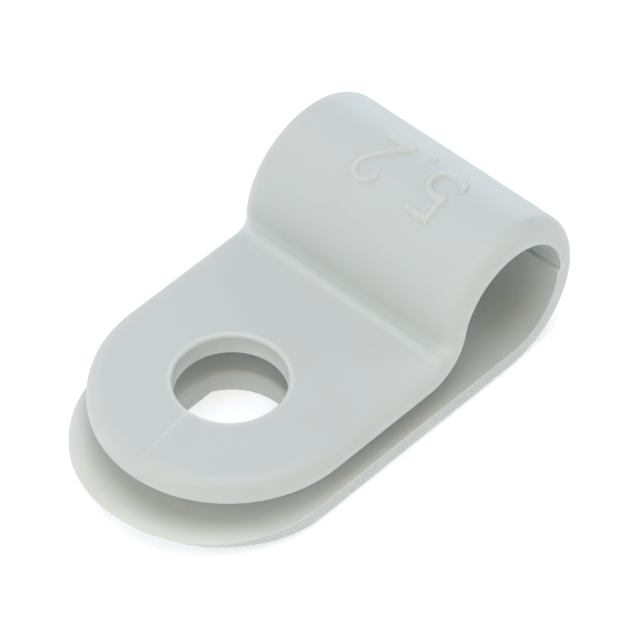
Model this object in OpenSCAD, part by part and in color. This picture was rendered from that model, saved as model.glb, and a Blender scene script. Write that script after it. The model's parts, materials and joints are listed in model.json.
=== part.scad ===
// Cable p clip: one moulded nylon strap, bent into a loop with two open screw tabs.
// Origin: on the screw hole's axis, in the plane the clip rests on.
// +X runs from the screw hole to the loop, Y is along the cable, +Z is up.
// All sizes are millimetres.

/* [Strap] */
// Width of the strap, measured along the cable
width = 10.4; // [9:0.1:13]
// Bore of the loop's upper half, the nominal bundle diameter
bundle_diameter = 5.2; // [5:0.1:6]
// Radius step on the mould line: the loop's lower half is bored this much tighter
mould_step = 0.17; // [0.05:0.01:0.25]
// Distance from the screw hole's axis to the loop's axis
reach = 9.34; // [8.6:0.02:12]
// Wall of the loop's upper half
loop_wall = 0.93; // [0.85:0.01:1.2]
// Wall of the upper tab
tab_wall = 0.89; // [0.8:0.01:1.1]
// Wall of the lower leg and of the loop's lower half
leg_wall = 0.94; // [0.8:0.01:1.1]

/* [Neck] */
// Radius of the bend under the neck, where the upper tab runs up into the loop
bend_radius = 1.9; // [1.5:0.05:2.4]
// Radius of the hollow corner on top of the neck, which sets the tab's height on the loop
neck_radius = 0.22; // [0.2:0.01:0.6]

/* [Edges] */
// Rounding of the strap's upper outside edges
top_rounding = 0.65; // [0.3:0.05:0.7]
// Rounding of the strap's lower outside edges
bottom_rounding = 0.4; // [0.15:0.05:0.5]

/* [Screw holes] */
// Round hole through the upper tab
hole_diameter = 4.2; // [3:0.1:5]
// Rounding of the top edge of both tabs' holes
hole_rounding = 0.15; // [0.05:0.01:0.3]
// Length of the lower tab's hole along X, across its two arcs
slot_length = 4.8; // [4.4:0.1:5.6]
// Width of the lower tab's hole along Y, between its two flats
slot_width = 4.2; // [3:0.1:4.3]
// How far the lower tab's hole sits back from the screw hole's axis
slot_setback = 0.1; // [0:0.05:0.4]

/* [Lower tip] */
// How far the lower tab's round tip reaches out beyond the upper one
tip_overhang = 1; // [0.4:0.05:1.4]
// Lean of the tip's undercut wall, from the vertical, in degrees
undercut_angle = 45; // [30:1:55]
// Setback of the undercut's own axis from the screw hole's axis
undercut_setback = 0.25; // [0:0.05:0.3]
// How far inside the strap's side the undercut starts, at the bottom face
undercut_inset = 0.2; // [0.1:0.01:0.3]

/* [Hidden] */
$fn = 96;
corner_fn = 32;
margin = 1;

// Radii of the loop's upper half, from its bore out
upper_bore = bundle_diameter / 2;
upper_rim = upper_bore + loop_wall;
// Radii of its lower half, which runs straight on into the leg
lower_bore = upper_bore - mould_step;
lower_rim = lower_bore + leg_wall;

// In the side view a point is [x, z]
loop_axis = [reach, lower_rim];
// The hollow corner leads from the upper tab's level top to the loop's rim, a quarter turn
neck_axis = loop_axis - [upper_rim + neck_radius, 0];
tab_top = loop_axis[1] - neck_radius;
tab_underside = tab_top - tab_wall;
// Clear height between the two tabs
tab_gap = tab_underside - leg_wall;

// The bend under the neck rounds off the corner between the tab's underside and the bore.
// It runs out a hair's breadth past both, so that each meeting is a clean edge.
runout = 0.004;
bend_height = tab_underside + bend_radius - runout;
bend_rise = bend_height - loop_axis[1];
bend_reach = upper_bore + bend_radius - runout;
bend_axis = [reach - sqrt(bend_reach * bend_reach - bend_rise * bend_rise), bend_height];
bend_direction = (bend_axis - loop_axis) / bend_reach;

// Lower tab's tip
tip_axis = -tip_overhang;
undercut_radius = width / 2 - undercut_inset;
undercut_run = tan(undercut_angle) * leg_wall;

// Cross-section of the strap: outer face at x = 0, material towards -x,
// the two outer edges rounded and the two inner ones left square
module strap_section(depth, rounding) {
    translate([-depth, -width / 2])
        square([depth - rounding, width]);
    translate([-depth, rounding - width / 2])
        square([depth, width - 2 * rounding]);
    for (side = [-1, 1])
        intersection() {
            translate([-rounding, side * (width / 2 - rounding)])
                circle(r = rounding, $fn = corner_fn);
            translate([-depth, -width / 2])
                square([depth, width]);
        }
}

// Half of the same section, for a tab's round tip: outer face at y = 0, rim at x = width / 2
module tip_section(depth, rounding) {
    translate([0, -depth])
        square([width / 2, depth - rounding]);
    translate([0, -depth])
        square([width / 2 - rounding, depth]);
    intersection() {
        translate([width / 2 - rounding, -rounding])
            circle(r = rounding, $fn = corner_fn);
        translate([0, -depth])
            square([width / 2, depth]);
    }
}

// Straight strap with its outer face up, running along x
module straight_strap(length, depth, rounding) {
    rotate([90, 0, 90])
        linear_extrude(length)
            rotate([0, 0, 90])
                strap_section(depth, rounding);
}

// Half-round end of a strap about the z axis, on the -x side, with its outer face up
module round_end(depth, rounding) {
    rotate([0, 0, 90])
        rotate_extrude(angle = 180)
            tip_section(depth, rounding);
}

// Strap bent round the y axis with its outer face outwards, from angle a to angle b
module bent_strap(radius, a, b, depth, rounding) {
    rotate([90, 0, 0])
        rotate([0, 0, a])
            rotate_extrude(angle = b - a)
                translate([radius, 0])
                    strap_section(depth, rounding);
}

// Strap bent round the y axis with its outer face inwards, from angle a to angle b
module hollow_strap(radius, a, b, depth, rounding) {
    rotate([90, 0, 0])
        rotate([0, 0, a])
            rotate_extrude(angle = b - a)
                translate([radius, 0])
                    mirror([1, 0])
                        strap_section(depth, rounding);
}

// Moves things drawn round the y axis to an axis of the side view
module about(axis) {
    translate([axis[0], 0, axis[1]])
        children();
}

// What the bend under the neck takes away from the square corner there
module bend_cut() {
    rotate([90, 0, 0])
        linear_extrude(width + 2 * margin, center = true)
            difference() {
                polygon([
                    [bend_axis[0], 0],
                    [reach, 0],
                    loop_axis,
                    loop_axis + (upper_bore + loop_wall / 2) * bend_direction,
                    bend_axis - [0, bend_radius / 2]
                ]);
                translate(bend_axis)
                    circle(r = bend_radius);
            }
}

// Upper half of the strap: tab, neck and the loop's upper half
module upper_strap() {
    difference() {
        union() {
            translate([0, 0, tab_top]) {
                round_end(tab_wall, top_rounding);
                straight_strap(neck_axis[0], tab_wall, top_rounding);
            }
            about(neck_axis)
                hollow_strap(neck_radius, 270, 360, bend_radius, top_rounding);
            about(loop_axis)
                bent_strap(upper_rim, 0, 180, loop_wall, top_rounding);
        }
        bend_cut();
    }
}

// Lower half of the strap: the loop's lower half, the leg and its longer round tip
module lower_strap() {
    about(loop_axis)
        bent_strap(lower_rim, -90, 0, leg_wall, bottom_rounding);
    translate([tip_axis, 0, 0])
        mirror([0, 0, 1]) {
            round_end(leg_wall, bottom_rounding);
            straight_strap(reach - tip_axis, leg_wall, bottom_rounding);
        }
}

// Half of a hole's side view, out from its axis: the tab's top face at y = 0, a straight wall
// below it, and a mouth that opens in a quarter round
module hole_profile(radius, depth) {
    translate([0, -depth])
        square([radius, depth - hole_rounding + runout]);
    difference() {
        translate([0, runout - hole_rounding])
            square([radius + hole_rounding, hole_rounding + tab_gap / 2]);
        translate([radius + hole_rounding, runout - hole_rounding])
            circle(r = hole_rounding, $fn = corner_fn);
    }
}

// Screw hole in the upper tab
module screw_hole() {
    translate([0, 0, tab_top])
        rotate_extrude()
            hole_profile(hole_diameter / 2, tab_wall + tab_gap / 2);
}

// Screw slot in the lower tab: a wider round hole with two flats
module screw_slot() {
    translate([-slot_setback, 0, leg_wall])
        intersection() {
            rotate_extrude()
                hole_profile(slot_length / 2, leg_wall + margin);
            rotate([90, 0, 90])
                linear_extrude(slot_length + 2 * margin, center = true)
                    for (side = [0, 1])
                        mirror([side, 0])
                            hole_profile(slot_width / 2, leg_wall + margin);
        }
}

// Undercut all round the lower tip, so that its wall leans out towards the top
module tip_undercut() {
    translate([-undercut_setback, 0, 0])
        rotate([0, 0, 90])
            rotate_extrude(angle = 180)
                polygon([
                    [undercut_radius, -margin],
                    [undercut_radius, 0],
                    [undercut_radius + undercut_run, leg_wall],
                    [undercut_radius + undercut_run + 2 * margin, leg_wall],
                    [undercut_radius + undercut_run + 2 * margin, -margin]
                ]);
}

// The whole clip, moulded in one piece
module clip() {
    color([0.8, 0.81, 0.79])
        difference() {
            union() {
                lower_strap();
                upper_strap();
            }
            screw_hole();
            screw_slot();
            tip_undercut();
        }
}

clip();
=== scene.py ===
# %% [markdown]
# # Dressing a moulded cable clip
#
# The clip's form is done before this file starts: one strap of nylon, bent into a loop, with two
# tabs that a screw draws together. Four things are left for this file.
#
# 1. A camera that stands where the catalogue view of the clip is taken from.
# 2. The nylon itself: its colour, its thin pale edges, its satin skin and its knit line.
# 3. The raised size number on the loop, the one form that is too fine for the solid model.
# 4. A white table and soft light, so that satin plastic shows its shape without hard glare.
#
# Lengths are in millimetres in this file and are multiplied by `MM` where they meet Blender,
# which works in metres.

# %% Load the solid clip
import json
import math

import bpy
import numpy as np
from mathutils import Matrix, Vector


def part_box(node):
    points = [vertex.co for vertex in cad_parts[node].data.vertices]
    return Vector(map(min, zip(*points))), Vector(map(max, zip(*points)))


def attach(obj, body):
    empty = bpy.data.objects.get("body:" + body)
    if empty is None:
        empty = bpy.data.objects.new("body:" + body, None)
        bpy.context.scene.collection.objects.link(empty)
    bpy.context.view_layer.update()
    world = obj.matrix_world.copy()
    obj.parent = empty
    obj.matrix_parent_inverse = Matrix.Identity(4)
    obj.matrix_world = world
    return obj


MM = 0.001

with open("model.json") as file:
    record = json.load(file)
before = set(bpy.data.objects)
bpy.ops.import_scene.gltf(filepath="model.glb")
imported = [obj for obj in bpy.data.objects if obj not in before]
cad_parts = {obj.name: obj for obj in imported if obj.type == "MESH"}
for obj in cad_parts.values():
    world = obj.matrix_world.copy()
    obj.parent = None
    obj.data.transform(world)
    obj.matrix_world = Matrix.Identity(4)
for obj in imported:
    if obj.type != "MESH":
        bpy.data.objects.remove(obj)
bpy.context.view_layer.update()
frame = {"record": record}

# %% [markdown]
# ## What the solid model says
#
# The tones, the number and the table all have to sit on the clip, so they need its main places
# and sizes. These could be measured on the mesh or typed in again. They are read from the frame
# instead, so that they follow if the clip is made in another size.
#
# The loop's axis comes from the mount that holds the cable, and the screw hole from the mount
# that takes the screw. The rest comes from the clip's box: the loop's outer radius is the height
# of its crest above its axis, and the lower tab's round end starts half a width in from its tip.

# %% Main places and sizes
mounts = {m["name"]: m for m in frame["record"]["mounts"]}
low, high = (np.array(corner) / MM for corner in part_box("clip"))

loop_x, _, loop_z = np.array(mounts["cable_loop"]["pos_m"]) / MM
loop_radius = high[2] - loop_z
hole_radius = mounts["screw_hole"]["dims"]["r_mm"]
tab_top = mounts["head_seat"]["pos_m"][2] / MM
half_width = high[1]
lower_tip = low[0] + half_width

print(f"loop: axis at x {loop_x:.2f}, z {loop_z:.2f}, outer radius {loop_radius:.2f}")
print(f"tab: top at z {tab_top:.2f}, hole radius {hole_radius:.2f}, half width {half_width:.2f}")
print(f"lower tab: round end centred at x {lower_tip:.2f}")

# %% [markdown]
# ## The camera
#
# A small part is shot with a long lens from far off, which keeps its straight edges nearly
# parallel. The camera could be aimed at the clip with a Track To constraint. Three angles are
# used instead, because a constraint can't hold the slight roll of a camera in the hand.
#
# The camera's own z axis, `back`, points away from what it looks at:
#
# $$back = (\sin a \cos e,\; -\cos a \cos e,\; \sin e)$$
#
# for azimuth $a$ and elevation $e$. `right` is level, `up` completes the set, and the roll turns
# those two about `back`.

# %% The camera's axes
AZIMUTH, ELEVATION, ROLL = math.radians(-45.942), math.radians(46.765), math.radians(-0.805)


def camera_axes(azimuth, elevation, roll):
    """Rows right, up and back: the camera's own axes, given in the frame's."""
    back = np.array(
        [
            math.sin(azimuth) * math.cos(elevation),
            -math.cos(azimuth) * math.cos(elevation),
            math.sin(elevation),
        ]
    )
    level = np.cross([0, 0, 1], back)
    level /= np.linalg.norm(level)
    upright = np.cross(back, level)
    right = level * math.cos(roll) + upright * math.sin(roll)
    return np.array([right, np.cross(back, right), back])


axes = camera_axes(AZIMUTH, ELEVATION, ROLL)
print("the camera looks along", np.round(-axes[2], 3).tolist())

# %% [markdown]
# The clip is shot from the side of its tabs, so that the loop's open mouth shows at the right.
# The camera's place and lens belong together: from nearer by, the tab would look too large
# beside the loop.

# %% Set up the camera
CAMERA_PLACE = np.array([-86.444, -88.152, 137.395])
LENS, SENSOR = 286.29, 36.0

lens = bpy.data.cameras.new("camera")
lens.sensor_width, lens.lens = SENSOR, LENS
lens.clip_start, lens.clip_end = 0.01, 10
camera = bpy.data.objects.new("camera", lens)
turn = Matrix(axes.T.tolist()).to_4x4()
camera.matrix_world = Matrix.Translation(Vector(CAMERA_PLACE * MM)) @ turn
bpy.context.collection.objects.link(camera)
bpy.context.scene.camera = camera
print(f"camera: {lens.lens:.0f} mm lens, {np.linalg.norm(CAMERA_PLACE):.0f} mm from the hole")

# %% [markdown]
# ## Nodes by expression
#
# The clip's tones change from place to place, and each change is a formula over a point of the
# clip. Such a formula could be wired up by hand in the node editor, or painted into an image.
# Here it is written as nodes by small functions: each call adds one node and gives back its
# output, so a line of Python reads like the formula, and the finish stays sharp at any size.
#
# `Shader` only holds what the functions need of one material. It is passed on as `s`.


# %% A material to write nodes into
class Shader:
    """A new material with its nodes, its links and its Principled BSDF."""

    def __init__(self, name):
        self.material = bpy.data.materials.new(name)
        self.material.use_nodes = True
        self.nodes = self.material.node_tree.nodes
        self.links = self.material.node_tree.links
        self.skin = self.nodes["Principled BSDF"]


def put(s, sockets, *values):
    """Link a node's output to each socket, or set a plain value on it."""
    for socket, value in zip(sockets, values):
        if isinstance(value, bpy.types.NodeSocket):
            s.links.new(value, socket)
        else:
            socket.default_value = value


print("a new material starts with a Principled BSDF and an output node")

# %% [markdown]
# A smooth step goes from one value to another between two places, with no kink at either end.
# Two of them back to back make a hump, which is how most tones here come and go.


# %% Arithmetic on points
def point(s):
    """The surface point, then its x, y and z, in metres in the object's own frame."""
    place = s.nodes.new("ShaderNodeTexCoord").outputs["Object"]
    split = s.nodes.new("ShaderNodeSeparateXYZ")
    put(s, split.inputs, place)
    return place, *split.outputs


def maths(s, operation, *values):
    """One Math node."""
    node = s.nodes.new("ShaderNodeMath")
    node.operation = operation
    put(s, node.inputs, *values)
    return node.outputs[0]


def ramp(s, value, start, end, low=0.0, high=1.0):
    """Smooth step: low up to start, high from end on."""
    node = s.nodes.new("ShaderNodeMapRange")
    node.interpolation_type = "SMOOTHSTEP"
    put(s, node.inputs, value, start, end, low, high)
    return node.outputs[0]


def bump_at(s, distance, width):
    """Smooth hump of height 1 where distance is 0, gone at plus or minus width."""
    return ramp(s, maths(s, "ABSOLUTE", distance), 0.0, width, 1.0, 0.0)


step = [3 * t**2 - 2 * t**3 for t in (0.25, 0.5, 0.75)]
print("a smooth step at a quarter, half and three quarters:", np.round(step, 2).tolist())

# %% [markdown]
# Noise breaks up a flat tone, a blend puts one colour over another by a share, and relief
# tilts the surface a little without moving it.


# %% Noise, colour and relief
def noise(s, place, size, detail=2.0):
    """Noise from 0 to 1 whose blobs are about `size` millimetres across."""
    node = s.nodes.new("ShaderNodeTexNoise")
    named = (node.inputs["Vector"], node.inputs["Scale"], node.inputs["Detail"])
    put(s, named, place, 1 / (size * MM), detail)
    return node.outputs["Fac"]


def blend(s, share, first, second):
    """Colour between two others: the first where share is 0, the second where it is 1."""
    node = s.nodes.new("ShaderNodeMix")
    node.data_type = "RGBA"
    put(s, (node.inputs[0], node.inputs[6], node.inputs[7]), share, first, second)
    return node.outputs[2]


def relief(s, height, depth):
    """Bump from a height of 0 to 1 that stands for `depth` millimetres."""
    node = s.nodes.new("ShaderNodeBump")
    put(s, (node.inputs["Height"], node.inputs["Distance"]), height, depth * MM)
    put(s, [s.skin.inputs["Normal"]], node.outputs[0])


def grey(level, warmth=0.0):
    """A linear colour near grey; warmth adds red and takes blue away."""
    return (level * (1 + warmth), level, level * (1 - warmth), 1.0)


print("a warm mid grey:", np.round(grey(0.5, 0.02), 2).tolist())

# %% [markdown]
# ## Natural nylon
#
# Unfilled nylon is a cool light grey with a satin skin, and it lets a little light through. One
# plain Principled BSDF gives such a skin, with a small share of subsurface scattering for the
# light that goes through. A large share would wash out the sharp hollow at the neck, so it is
# kept low, and most places where the plastic looks paler get paler tones instead: painted light
# for the light that a larger share would bring.
#
# The colours are linear. `CREAM`, `THIN` and the screw hole's ring tone are painted light: the
# same plastic, seen where more light comes back out of it. `PALE` is painted light at the neck's
# corner and on the bore's ledge, and the knit line's own paler tone.

# %% Colours and skin of nylon
NYLON = (0.568, 0.607, 0.592, 1.0)
CREAM = (0.640, 0.645, 0.590, 1.0)
PALE = (0.690, 0.740, 0.725, 1.0)
# the screw hole's ring: a painted highlight
RING_HIGHLIGHT = (0.700, 0.720, 0.680, 1.0)
THIN = (0.815, 0.805, 0.735, 1.0)


def nylon_skin(s, colour, let_through):
    """What every nylon surface shares: satin gloss, and a share of light that goes through."""
    put(s, [s.skin.inputs["Base Color"]], colour)
    s.skin.inputs["Roughness"].default_value = 0.48
    s.skin.inputs["IOR"].default_value = 1.5
    s.skin.inputs["Subsurface Weight"].default_value = let_through
    s.skin.inputs["Subsurface Radius"].default_value = (1.0, 0.85, 0.6)
    s.skin.inputs["Subsurface Scale"].default_value = 0.5 * MM


print("brightness against plain nylon, red to blue:")
for name, tone in {"cream": CREAM, "pale": PALE, "ring": RING_HIGHLIGHT, "thin": THIN}.items():
    print(" ", name, np.round(np.divide(tone, NYLON)[:3], 2).tolist())

# %% [markdown]
# ## Where the nylon looks paler
#
# Six things change the tone. Each is a mask, a share from 0 to 1 at every point.
#
# * `edge`: painted light, a faint cream band where the upper tab's top face starts to round off.
# * `ring`: a painted highlight that makes the screw hole's wall and mouth paler.
# * `corner`: a painted highlight that makes the hollow corner where the tab meets the loop paler.
# * `knit`: the melt parted round the mould's pin and closed again behind it, which left a fine
#   pale line from the hole to the tip, a few degrees askew.
# * `thin`: light comes up through the lower leg near its outline.
# * `ledge`: light catches the small step in the bore, where the mould's halves meet.
#
# The masks could be vertex colours, but the solid's mesh is coarse on its flat faces and stays
# as it is. Formulas are as sharp as they need to be. Two distances do most of the work: the
# length of a vector in a plane, and how far a point lies in from the outline of a strap. The
# outline is straight on the loop's side of its round end's centre $x_0$ and round on the other,
# so with the half width $w$ that is
#
# $$d = w - \sqrt{\min(x - x_0,\, 0)^2 + y^2}$$


# %% Distances and products
def distance(s, along, across):
    """Length of the vector (along, across)."""
    squares = maths(s, "MULTIPLY", along, along), maths(s, "MULTIPLY", across, across)
    return maths(s, "SQRT", maths(s, "ADD", *squares))


def inset(s, x, y, round_end):
    """Distance in from the outline of a strap whose round end is centred at x = round_end."""
    beyond = maths(s, "MINIMUM", maths(s, "SUBTRACT", x, round_end * MM), 0.0)
    return maths(s, "SUBTRACT", half_width * MM, distance(s, beyond, y))


def product(s, *masks):
    """Product of masks: 1 only where all of them are 1."""
    result = masks[0]
    for mask in masks[1:]:
        result = maths(s, "MULTIPLY", result, mask)
    return result


print(f"a tab's outline lies {half_width:.1f} mm from its middle line")

# %% [markdown]
# ### Masks of the upper tab
#
# The first two are humps across a line that runs parallel to an outline: the tab's own for
# `edge`, the hole's for `ring`. A window in height keeps both off the lower tab, which lies
# right below. `corner` fades with the distance from the line where the tab meets the loop. All
# three are painted light.

# %% Edge, ring and corner
EDGE_INSET, EDGE_SPREAD = 0.27, 0.25
RING_OFFSET, RING_SPREAD = 0.08, 0.2
CORNER_RISE, CORNER_SPREAD = 0.08, 0.6
TAB_DEPTH, DEPTH_FADE = 0.9, 0.1


def edge_and_ring_light(s, x, y, z):
    """Painted light: humps at EDGE_INSET in from the outline and RING_OFFSET out from the hole's
    wall.
    """
    on_tab = ramp(s, z, (tab_top - TAB_DEPTH - DEPTH_FADE) * MM, (tab_top - TAB_DEPTH) * MM)
    from_edge = maths(s, "SUBTRACT", inset(s, x, y, 0.0), EDGE_INSET * MM)
    from_ring = maths(s, "SUBTRACT", distance(s, x, y), (hole_radius + RING_OFFSET) * MM)
    edge = bump_at(s, from_edge, EDGE_SPREAD * MM)
    ring = bump_at(s, from_ring, RING_SPREAD * MM)
    return product(s, edge, on_tab), product(s, ring, on_tab)


def neck_corner_highlight(s, x, z):
    """Painted highlight: 1 on the line where the tab meets the loop, 0 from CORNER_SPREAD away on.
    """
    u = maths(s, "SUBTRACT", x, (loop_x - loop_radius) * MM)
    v = maths(s, "SUBTRACT", z, (loop_z + CORNER_RISE) * MM)
    return ramp(s, distance(s, u, v), 0.0, CORNER_SPREAD * MM, 1.0, 0.0)


print(f"cream edge: up to {EDGE_INSET + EDGE_SPREAD:.2f} mm in from the outline")
print(f"pale corner: centred at x {loop_x - loop_radius:.2f} mm")

# %% [markdown]
# ### The knit line
#
# It starts at the hole's wall and leans by `KNIT_SLOPE`, so at a length $b$ behind the wall its
# middle is $b$ times the slope to one side. It is broad at the hole and narrows on its way to
# the tip, because the two streams of melt have joined better there.

# %% Knit line
KNIT_SLOPE = 0.12
KNIT_HALF_WIDTH_AT_HOLE, KNIT_HALF_WIDTH, KNIT_NARROWS = 0.32, 0.13, 0.8
KNIT_FADES, KNIT_ENDS = 1.6, 3.2
KNIT_DEPTH = 0.3


def knit_line(s, x, y, z):
    """Hump across the leaning line, between the hole's wall and KNIT_ENDS behind it."""
    behind = maths(s, "ADD", x, hole_radius * MM)
    askew = maths(s, "SUBTRACT", y, maths(s, "MULTIPLY", behind, KNIT_SLOPE))
    widths = KNIT_HALF_WIDTH * MM, KNIT_HALF_WIDTH_AT_HOLE * MM
    top = tab_top - KNIT_DEPTH
    return product(
        s,
        bump_at(s, askew, ramp(s, behind, -KNIT_NARROWS * MM, 0.0, *widths)),
        ramp(s, behind, 0.0, -DEPTH_FADE * MM),
        ramp(s, behind, -KNIT_FADES * MM, -KNIT_ENDS * MM, 1.0, 0.0),
        ramp(s, z, (top - DEPTH_FADE) * MM, top * MM),
    )


print(f"knit line: x {-hole_radius:.2f} to {-hole_radius - KNIT_ENDS:.2f} mm")

# %% [markdown]
# ### The thin edge of the lower leg
#
# The leg's inner face is lightest along its outline and grows darker under the upper tab. Three
# shares add up to that.
#
# * `rim` runs all along the outline.
# * `wedge` is only at the tip, where the undercut leaves little plastic under the face.
# * `under` lies under the upper tab's tip. It stands for the light that a real tab lets in,
#   because it lifts a little towards its end, while the solid's is level.
#
# Each fades along x, and a hump in height keeps the sum on the leg's inner face.

# %% Thin edge
LEG_TOP, LEG_SPREAD = 0.94, 0.1
RIM, RIM_ENDS = 0.32, 1.0
WEDGE_OUTSIDE, WEDGE_INSIDE, WEDGE_FROM, WEDGE_TO = 0.24, 0.2, 0.4, 0.8
WEDGE_FADE = -4.4, -2.6
UNDER, UNDER_FROM, UNDER_TO = 0.3, 1.0, 1.8
UNDER_FADE = -1.6, 0.4
BEND_STARTS = 5.0


def thin_edge(s, x, y, z):
    """Painted light: sum of rim, wedge and under, on the leg's inner face up to where the loop
    bends up.
    """
    d = inset(s, x, y, lower_tip)
    rim = ramp(s, d, 0.0, RIM_ENDS * MM, RIM, 0.0)
    wedge = ramp(s, d, WEDGE_FROM * MM, WEDGE_TO * MM, WEDGE_OUTSIDE, WEDGE_INSIDE)
    under = ramp(s, d, UNDER_FROM * MM, UNDER_TO * MM, 0.0, UNDER)
    at_tip = ramp(s, x, WEDGE_FADE[0] * MM, WEDGE_FADE[1] * MM, 1.0, 0.0)
    below_tab_tip = ramp(s, x, UNDER_FADE[0] * MM, UNDER_FADE[1] * MM, 1.0, 0.0)
    tip = maths(s, "ADD", product(s, wedge, at_tip), product(s, under, below_tab_tip))
    return product(
        s,
        maths(s, "ADD", rim, tip),
        bump_at(s, maths(s, "SUBTRACT", z, LEG_TOP * MM), LEG_SPREAD * MM),
        ramp(s, x, BEND_STARTS * MM, loop_x * MM, 1.0, 0.0),
    )


print(f"thin edge: the share at the tip's outline is {RIM + WEDGE_OUTSIDE:.2f}")

# %% [markdown]
# ### The ledge in the bore
#
# The mould's halves meet at the height of the loop's axis, and the lower one bores the loop a
# little tighter. This leaves a ledge that faces up on the loop's far side. Without this mask it
# would read as a dark line, since the corner above it gets little light.

# %% Ledge
LEDGE_OUT, LEDGE_SPREAD = 2.5, 0.5
LEDGE_STARTS, LEDGE_FULL = -0.02, -0.01
LEDGE_FADES, LEDGE_ENDS = 0.03, 0.35


def bore_ledge(s, x, z):
    """1 on the ledge, fading up the wall above it."""
    above = maths(s, "SUBTRACT", z, loop_z * MM)
    return product(
        s,
        ramp(s, above, LEDGE_STARTS * MM, LEDGE_FULL * MM),
        ramp(s, above, LEDGE_FADES * MM, LEDGE_ENDS * MM, 1.0, 0.0),
        bump_at(s, maths(s, "SUBTRACT", x, (loop_x + LEDGE_OUT) * MM), LEDGE_SPREAD * MM),
    )


print(f"ledge: at x {loop_x + LEDGE_OUT:.2f}, z {loop_z:.2f} mm")

# %% [markdown]
# ### The whole finish
#
# One colour is moved towards a paler one by each mask in turn, with a strength per mask. Under
# that lie faint clouds, as in any batch of natural nylon. A hair of relief breaks up the sheen:
# fine grain, and a shallow groove along the knit line.

# %% Natural nylon on the clip
CLOUD_SIZE, CLOUD_SHARE, CLOUD = 3.0, 0.25, grey(0.57, 0.02)
GRAIN_SIZE, GRAIN_DEPTH, GROOVE = 0.25, 0.01, 0.5
LET_THROUGH = 0.2


def natural_nylon():
    """The clip's own material: clouds, then each mask's tone, then the skin and its relief."""
    s = Shader("natural_nylon")
    place, x, y, z = point(s)
    edge, ring = edge_and_ring_light(s, x, y, z)
    knit = knit_line(s, x, y, z)
    # Every tone below is painted light, except the knit line's, which is the line's own paler
    # tone.
    tones = [
        (edge, 0.12, CREAM),
        (ring, 0.6, RING_HIGHLIGHT),
        (neck_corner_highlight(s, x, z), 0.8, PALE),
        (knit, 0.35, PALE),
        (thin_edge(s, x, y, z), 1.0, THIN),
        (bore_ledge(s, x, z), 1.0, PALE),
    ]
    clouds = ramp(s, noise(s, place, CLOUD_SIZE), 0.3, 0.7, 0.0, CLOUD_SHARE)
    colour = blend(s, clouds, NYLON, CLOUD)
    for mask, strength, tone in tones:
        colour = blend(s, maths(s, "MULTIPLY", mask, strength), colour, tone)
    nylon_skin(s, colour, LET_THROUGH)

    grain = noise(s, place, GRAIN_SIZE, 3.0)
    relief(s, maths(s, "SUBTRACT", grain, maths(s, "MULTIPLY", knit, GROOVE)), GRAIN_DEPTH)
    return s.material


nylon = natural_nylon()
clip = bpy.data.objects["clip"]
clip.data.materials.clear()
clip.data.materials.append(nylon)
print("nylon:", len(nylon.node_tree.nodes), "nodes")

# %% [markdown]
# ## The raised size number
#
# The number tells which cable the clip fits. It stands a tenth of a millimetre proud of the
# loop, cut into the mould with a round cutter, so each stroke is a smooth low ridge.
#
# A text object could be bent round the loop, but it brings a font's letter forms, and its strokes
# have flat backs. Here the number is a height over the loop, which gives the round ridge and
# follows the loop's curve by itself. With $s$ the length round the loop from its crest and $y$
# the length along it, a point of the ridge is
#
# $$P(s, y) = A + (R + h(s, y))\,(\sin(s / R),\; \cos(s / R))$$
#
# where $A$ is the loop's axis and $R$ its radius. The height depends only on the distance $d$
# to the nearest stroke:
#
# $$h = (H + k)\,(1 - (d / w)^3)^2 - k$$
#
# so a ridge is $H$ high with a round back, $2w$ wide at its foot, and starts $k$ below the
# loop's skin.
#
# First come the numerals, each drawn in a square of side 1 from its lower left corner. A bar is
# a straight stroke, and a bow is a part of an ellipse.


# %% Strokes of the numerals
def bar(start, end):
    """A straight stroke, with square ends."""
    return "bar", np.array([start, end], float)


def bow(centre, radii, start, end):
    """A stroke along part of an ellipse; angles in degrees, 0 along the line of text.

    The path is centre + (radii[0] cos a, radii[1] sin a) at 40 angles a from start to end.
    """
    a = np.radians(np.linspace(start, end, 40))
    across, up = np.cos(a) * radii[0] + centre[0], np.sin(a) * radii[1] + centre[1]
    return "bow", np.stack([across, up], axis=-1)


FIVE = [
    bar((0.86, 0.98), (0.14, 0.99)),
    bar((0.14, 0.99), (0.19, 0.54)),
    bow((0.5, 0.29), (0.49, 0.29), 128, -158),
]
POINT = [bow((0.0, 0.0), (0.01, 0.01), 0, 360)]
TWO = [
    bow((0.46, 0.79), (0.40, 0.21), 168, -30),
    bar((0.82, 0.70), (0.03, 0.01)),
    bar((0.01, 0.0), (0.84, 0.02)),
]
print("strokes:", len(FIVE), "in the five,", len(POINT), "in the point,", len(TWO), "in the two")

# %% [markdown]
# Then the numerals are set side by side, at their real size. In the plane of the text one axis
# runs along the loop, $y$, and the other up the line of text, $-s$. Each numeral has its left
# side's $y$ and its line's $s$, since hand-cut numerals never stand quite in line.

# %% Set the numerals
DIGIT_WIDTH, DIGIT_HEIGHT = 1.24, 2.35
WRITING = [(FIVE, -2.22, 1.0), (POINT, -0.24, 1.17), (TWO, 0.62, 0.97)]

strokes = [
    (kind, path * (DIGIT_WIDTH, DIGIT_HEIGHT) + (left, -line))
    for numeral, left, line in WRITING
    for kind, path in numeral
]
print(f"numerals: {DIGIT_HEIGHT} mm high round the loop, {DIGIT_WIDTH} mm wide along it")

# %% [markdown]
# The height needs the distance from every point of a grid to the nearest stroke. A bow's pieces
# end round, so its distance is the true one. A bar ends square, and there the larger of the
# lengths past its end and off its line takes the place of the distance.


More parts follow.
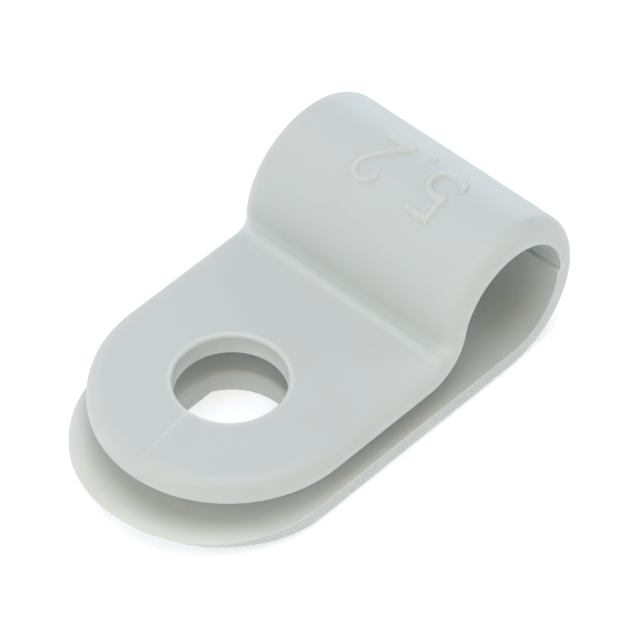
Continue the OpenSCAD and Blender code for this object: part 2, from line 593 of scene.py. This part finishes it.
# %% Distance to a stroke
def distance_to(points, stroke):
    """Distance from each of n points to a stroke, in the plane: shape (n,).

    With `past` the length past a piece's end, 0 or less beside it, and `off` the length off its
    line, it is max(past, off) for a bar and hypot(max(past, 0), off) for a bow.
    """
    kind, path = stroke
    a, b = path[:-1], path[1:]
    length = np.linalg.norm(b - a, axis=-1)
    unit = (b - a) / length[:, None]
    offset = points[:, None, :] - a
    along = (offset * unit).sum(-1)
    off = np.abs(offset[..., 0] * unit[:, 1] - offset[..., 1] * unit[:, 0])
    past = np.maximum(-along, along - length)
    if kind == "bar":
        return np.maximum(past, off).min(axis=1)
    return np.hypot(np.maximum(past, 0), off).min(axis=1)


crest = np.array([[0.0, 0.0]])
nearest = min(distance_to(crest, stroke)[0] for stroke in strokes)
print(f"from the loop's crest to the nearest stroke: {nearest:.2f} mm")

# %% [markdown]
# `surface` turns a grid of points into a mesh. The vertices could be added one by one, but a
# loop over tens of thousands of them is slow, so whole arrays are handed over at once. A mask
# says which cells of the grid are kept, so only the ridges themselves become faces.


# %% Grid to mesh
def surface(name, points, keep):
    """Mesh of a grid of points P(i, j), shape (n, m, 3), in millimetres.

    Cell (i, j) has the corners P(i, j), P(i+1, j), P(i+1, j+1), P(i, j+1), and is made where
    keep[i, j] is true. Corners that no cell uses are left out.
    """
    rows, columns = points.shape[:2]
    index = np.arange(rows * columns).reshape(rows, columns)
    corners = [index[:-1, :-1], index[1:, :-1], index[1:, 1:], index[:-1, 1:]]
    cells = np.stack([c[keep] for c in corners], axis=-1)
    used, cells = np.unique(cells, return_inverse=True)
    mesh = bpy.data.meshes.new(name)
    vertices = points.reshape(-1, 3)[used] * MM
    mesh.from_pydata(vertices.tolist(), [], cells.reshape(-1, 4).tolist())
    mesh.shade_smooth()
    return mesh


def new_object(name, mesh, material):
    """Put a mesh in the scene under a name, with one material."""
    mesh.materials.append(material)
    thing = bpy.data.objects.new(name, mesh)
    bpy.context.collection.objects.link(thing)
    return thing


print("a grid of n by m points gives up to (n - 1)(m - 1) cells")

# %% [markdown]
# The grid covers only the patch of the loop that the number needs. Its cells are about a
# seventeenth of a stroke's width, fine enough for a ridge's round back without a modifier.

# %% The number as a height over the loop
STROKE_HALF_WIDTH, STROKE_HEIGHT, FOOT_DEPTH = 0.19, 0.10, 0.01
PATCH_Y, PATCH_S, GRID = (-2.6, 2.1), (-1.7, 1.4), 0.022


def size_number():
    """P(s, y) and h(s, y) of the text above, kept only where a stroke's foot reaches."""
    ys, ss = np.meshgrid(np.arange(*PATCH_Y, GRID), np.arange(*PATCH_S, GRID))
    plane = np.stack([ys.ravel(), -ss.ravel()], axis=-1)
    d = np.min([distance_to(plane, stroke) for stroke in strokes], axis=0).reshape(ys.shape)
    d = np.minimum(d / STROKE_HALF_WIDTH, 1)
    height = (STROKE_HEIGHT + FOOT_DEPTH) * (1 - d**3) ** 2 - FOOT_DEPTH
    radius, angle = loop_radius + height, ss / loop_radius
    x, z = loop_x + radius * np.sin(angle), loop_z + radius * np.cos(angle)
    inside = d < 1
    keep = inside[:-1, :-1] | inside[1:, :-1] | inside[1:, 1:] | inside[:-1, 1:]
    return surface("size_number", np.stack([x, ys, z], axis=-1), keep)


number_mesh = size_number()
print("size number:", len(number_mesh.polygons), "cells")

# %% [markdown]
# The ridges are the same nylon, about halfway to cream, with specks. They could share the
# clip's material, but they get no subsurface share: the mesh is an open sheet, and light that
# enters an open sheet is lost, which would draw a dark line round each numeral. The cream half is
# painted light in place of the light that the plastic lets through; the specks are random tone.

# %% Nylon of the ridges
SPECK_SIZE, SPECK_DEPTH = 0.25, 0.006


def ridge_nylon():
    """Specks between nylon and cream, on the shared skin; the cream half is painted light."""
    s = Shader("ridge_nylon")
    place, *_ = point(s)
    specks = noise(s, place, SPECK_SIZE, 3.0)
    relief(s, specks, SPECK_DEPTH)
    nylon_skin(s, blend(s, ramp(s, specks, 0.3, 0.7, 0.3, 0.7), CREAM, NYLON), 0.0)
    return s.material


number = new_object("size_number", number_mesh, ridge_nylon())
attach(number, "root")

# %% [markdown]
# ## The table
#
# Small parts are shown on a white sheet with hardly a shadow. A plain white floor would turn
# grey between the lights, so this one also glows a little, as a light table does. A faint cloud
# in its white keeps it from looking like empty space.

# %% White table
TABLE_HALF, TABLE_DROP = 2000.0, 0.01
GLOW, GLOW_STRENGTH = (0.98, 1.0, 1.10, 1.0), 0.32


def white_table():
    """Matt white paint that glows."""
    s = Shader("white_table")
    place, *_ = point(s)
    put(s, [s.skin.inputs["Base Color"]], blend(s, noise(s, place, 40.0), grey(0.90), grey(0.92)))
    s.skin.inputs["Roughness"].default_value = 0.9
    s.skin.inputs["Emission Color"].default_value = GLOW
    s.skin.inputs["Emission Strength"].default_value = GLOW_STRENGTH
    return s.material


corners = np.array([[[-1, -1, 0], [-1, 1, 0]], [[1, -1, 0], [1, 1, 0]]], float) * TABLE_HALF
corners[..., 2] = low[2] - TABLE_DROP
table = new_object("table", surface("table", corners, np.ones((1, 1), bool)), white_table())
print(f"table: {2 * TABLE_HALF / 1000:.0f} m wide, its top at z {corners[0, 0, 2]:.2f} mm")

# %% [markdown]
# ## The light
#
# Satin plastic shows its form by slow changes of tone, which take large soft lights. One picture
# of a studio wrapped round the scene could do it, but then no flank can be lit by itself. So six
# square soft boxes stand round the clip, all of one size and at one distance.
#
# The one overhead is the strongest. Three low ones, at the tab's end, at the loop's open mouth
# and on the far side, fill the clip's flanks. A warm one from the front lights the loop's rise
# and the gap between the tabs, and the backdrop, seen at a flat angle, brings up the loop's crest.


# %% Soft boxes
LIGHT_SIZE, LIGHT_DISTANCE = 220.0, 350.0


def soft_light(name, bearing, height, power, colour):
    """A square soft box that faces the clip.

    Its bearing is in degrees round from +x towards +y, its height in degrees above the table.
    """
    light = bpy.data.lights.new(name, "AREA")
    light.size = LIGHT_SIZE * MM
    light.energy = power
    light.color = colour
    lamp = bpy.data.objects.new(name, light)
    a, e = math.radians(bearing), math.radians(height)
    out = Vector((math.cos(e) * math.cos(a), math.cos(e) * math.sin(a), math.sin(e)))
    lamp.location = (Vector((loop_x / 2, 0, 0)) + out * LIGHT_DISTANCE) * MM
    lamp.rotation_euler = (-out).to_track_quat("-Z", "Y").to_euler()
    bpy.context.collection.objects.link(lamp)
    print(f"{name}: {power} W, {bearing} degrees round and {height} up")


soft_light("overhead", 0, 90, 0.49, (0.93, 1.0, 1.20))
soft_light("tab_side", 180, 30, 0.44, (0.97, 1.0, 1.05))
soft_light("mouth_side", 315, 30, 0.35, (0.94, 1.0, 1.04))
soft_light("far_side", 90, 30, 0.31, (1.0, 1.0, 1.04))
soft_light("front", 225, 60, 0.22, (1.25, 1.0, 0.50))
soft_light("backdrop", 30, 8, 0.37, (0.84, 1.0, 1.08))

# %% [markdown]
# The room round the table is dim and white, so that no side of the clip falls to black. The
# Standard view shows colours as they are, where a film look would turn the white table grey.

# %% Surroundings
SURROUNDINGS_STRENGTH = 0.1

surroundings = bpy.data.worlds.new("surroundings")
surroundings.use_nodes = True
background = surroundings.node_tree.nodes["Background"]
background.inputs["Color"].default_value = (1.0, 1.0, 1.0, 1.0)
background.inputs["Strength"].default_value = SURROUNDINGS_STRENGTH
bpy.context.scene.world = surroundings
bpy.context.scene.view_settings.view_transform = "Standard"
print("lights:", len(bpy.data.lights), "and a room at", SURROUNDINGS_STRENGTH)
